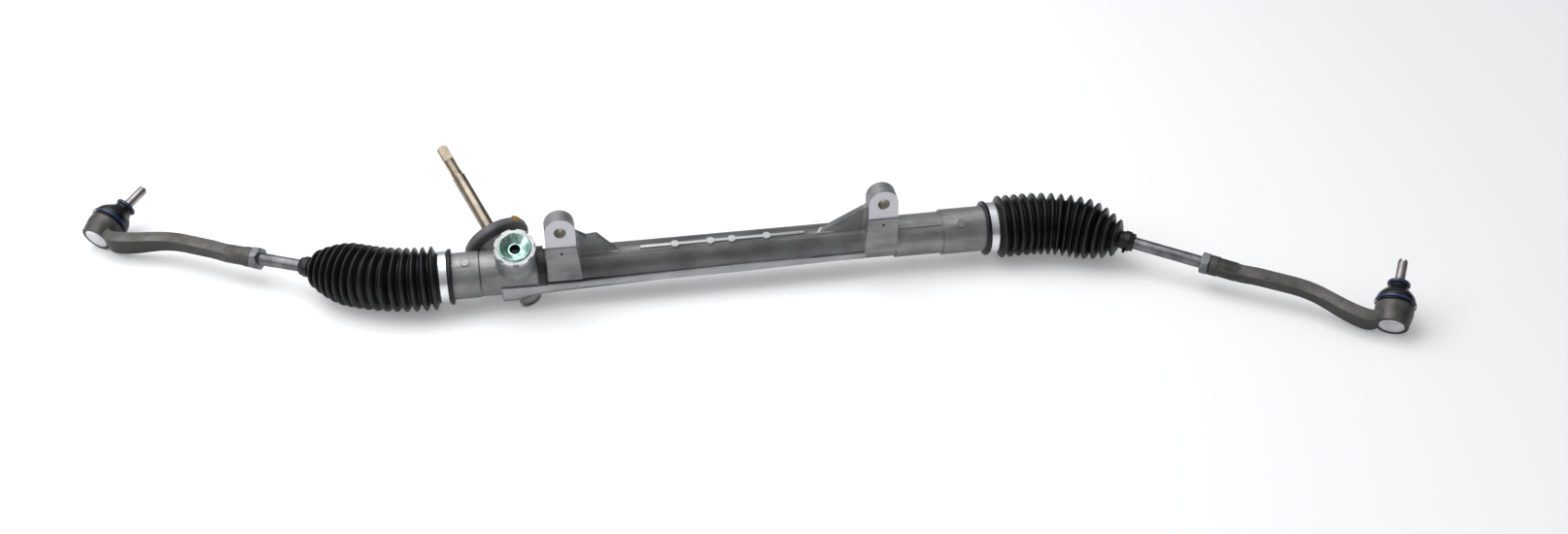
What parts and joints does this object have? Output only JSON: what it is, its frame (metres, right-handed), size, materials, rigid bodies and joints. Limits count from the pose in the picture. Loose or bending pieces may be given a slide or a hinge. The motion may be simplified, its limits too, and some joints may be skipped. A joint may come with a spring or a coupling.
{
  "type": "steering rack",
  "caption": "Rack-and-pinion steering gear: cast housing with lugs, slanted pinion shaft, bellows boots and cranked tie rods ending in ball joints.",
  "frame": {"origin": "midway between the two mounting holes, on the front faces of the lugs", "axes": "+X along the rack towards the right tie rod, -Y out of the lugs' front faces along the bolts, +Z from the rack towards the lugs"},
  "size_m": [1.3685, 0.4342, 0.1074],
  "materials": {
    "cast_aluminium": "sand-grey die casting, satin, lightly stained",
    "steel": "machined steel, satin",
    "zinc": "bright zinc plate",
    "plug_zinc": "green passivated zinc",
    "forging": "dark grey phosphated forging",
    "stud_steel": "brown-grey phosphated steel",
    "rubber": "black rubber, semi-gloss",
    "plastic": "off-white bearing plastic",
    "ring_blue": "royal blue coat",
    "collar_navy": "dark navy, satin",
    "yoke_aluminium": "machined aluminium"
  },
  "bodies": {
    "housing": {"housing": "cast_aluminium", "rack_yoke": "yoke_aluminium", "yoke_pad": "plastic", "yoke_o_ring": "rubber", "yoke_spring": "steel", "yoke_plug": "plug_zinc", "yoke_lock_ring": "zinc", "pinion_needle_bush": "steel", "pinion_end_plug": "zinc", "pinion_bearing_outer_ring": "steel", "pinion_bearing_retainer": "steel", "pinion_seal": "rubber", "pinion_tower_ring": "rubber", "rack_bush": "plastic", "bellows_boot_left": "rubber", "bellows_boot_right": "rubber", "boot_band_left": "zinc", "boot_band_right": "zinc"},
    "rack": {"rack": "steel", "inner_joint_socket_left": "steel", "inner_joint_socket_right": "steel", "socket_lock_washer_left": "steel", "socket_lock_washer_right": "steel"},
    "pinion": {"pinion_shaft": "steel", "pinion_bearing_inner_ring": "steel", "pinion_bearing_balls": "steel", "pinion_circlip": "steel"},
    "inner_seat_left": {"inner_ball_seat_left": "plastic"},
    "tie_rod_left": {"tie_rod_left": "zinc", "jam_nut_left": "zinc", "rod_end_left": "forging", "ball_joint_cap_left": "zinc", "stud_dust_boot_left": "rubber", "dust_boot_ring_left": "ring_blue", "boot_clip_left": "zinc"},
    "stud_seat_left": {"stud_seat_left": "plastic", "dust_boot_collar_left": "collar_navy"},
    "ball_stud_left": {"ball_stud_left": "stud_steel"},
    "inner_seat_right": {"inner_ball_seat_right": "plastic"},
    "tie_rod_right": {"tie_rod_right": "zinc", "jam_nut_right": "zinc", "rod_end_right": "forging", "ball_joint_cap_right": "zinc", "stud_dust_boot_right": "rubber", "dust_boot_ring_right": "ring_blue", "boot_clip_right": "zinc"},
    "stud_seat_right": {"stud_seat_right": "plastic", "dust_boot_collar_right": "collar_navy"},
    "ball_stud_right": {"ball_stud_right": "stud_steel"}
  },
  "joints": [
    {"name": "rack_slide", "type": "slide", "parent": "housing", "child": "rack", "axis": [1, 0, 0], "range_m": [-0.082, 0.058], "deforming": ["bellows_boot_left", "bellows_boot_right"]},
    {"name": "pinion_turn", "type": "hinge", "parent": "housing", "child": "pinion", "pos_m": [-0.214, 0.02679, -0.06882], "axis": [-0.3907, 0.8202, 0.4179], "range_deg": [-603, 427]},
    {"name": "rod_swing_left", "type": "hinge", "parent": "rack", "child": "inner_seat_left", "pos_m": [-0.34, 0.02, -0.0555], "axis": [0, 0, 1], "range_deg": [-8.2, 63.8], "deforming": ["bellows_boot_left"]},
    {"name": "rod_nod_left", "type": "hinge", "parent": "inner_seat_left", "child": "tie_rod_left", "pos_m": [-0.34, 0.02, -0.0555], "axis": [-0.4664, -0.8846, 0], "range_deg": [-8, 5.4], "deforming": ["bellows_boot_left"]},
    {"name": "stud_tilt_left", "type": "hinge", "parent": "tie_rod_left", "child": "stud_seat_left", "pos_m": [-0.65417, 0.18888, -0.07082], "axis": [0.1747, 0.2384, -0.9553], "range_deg": [-26, 10], "deforming": ["stud_dust_boot_left"]},
    {"name": "stud_spin_left", "type": "hinge", "parent": "stud_seat_left", "child": "ball_stud_left", "pos_m": [-0.65417, 0.18888, -0.07082], "axis": [0.6352, 0.7141, 0.2944], "continuous": true},
    {"name": "rod_swing_right", "type": "hinge", "parent": "rack", "child": "inner_seat_right", "pos_m": [0.364, 0.02, -0.0555], "axis": [0, 0, 1], "range_deg": [-2.3, 69.7], "deforming": ["bellows_boot_right"]},
    {"name": "rod_nod_right", "type": "hinge", "parent": "inner_seat_right", "child": "tie_rod_right", "pos_m": [0.364, 0.02, -0.0555], "axis": [0.5548, 0.832, 0], "range_deg": [-8, 5.4], "deforming": ["bellows_boot_right"]},
    {"name": "stud_tilt_right", "type": "hinge", "parent": "tie_rod_right", "child": "stud_seat_right", "pos_m": [0.66224, -0.17569, -0.07033], "axis": [-0.2183, -0.4001, 0.8901], "range_deg": [-18, 18], "deforming": ["stud_dust_boot_right"]},
    {"name": "stud_spin_right", "type": "hinge", "parent": "stud_seat_right", "child": "ball_stud_right", "pos_m": [0.66224, -0.17569, -0.07033], "axis": [0.4218, 0.7838, 0.4558], "continuous": true}
  ],
  "couplings": [
    {"joint": "pinion_turn", "follows": "rack_slide", "rad_per_m": 127.85}
  ]
}
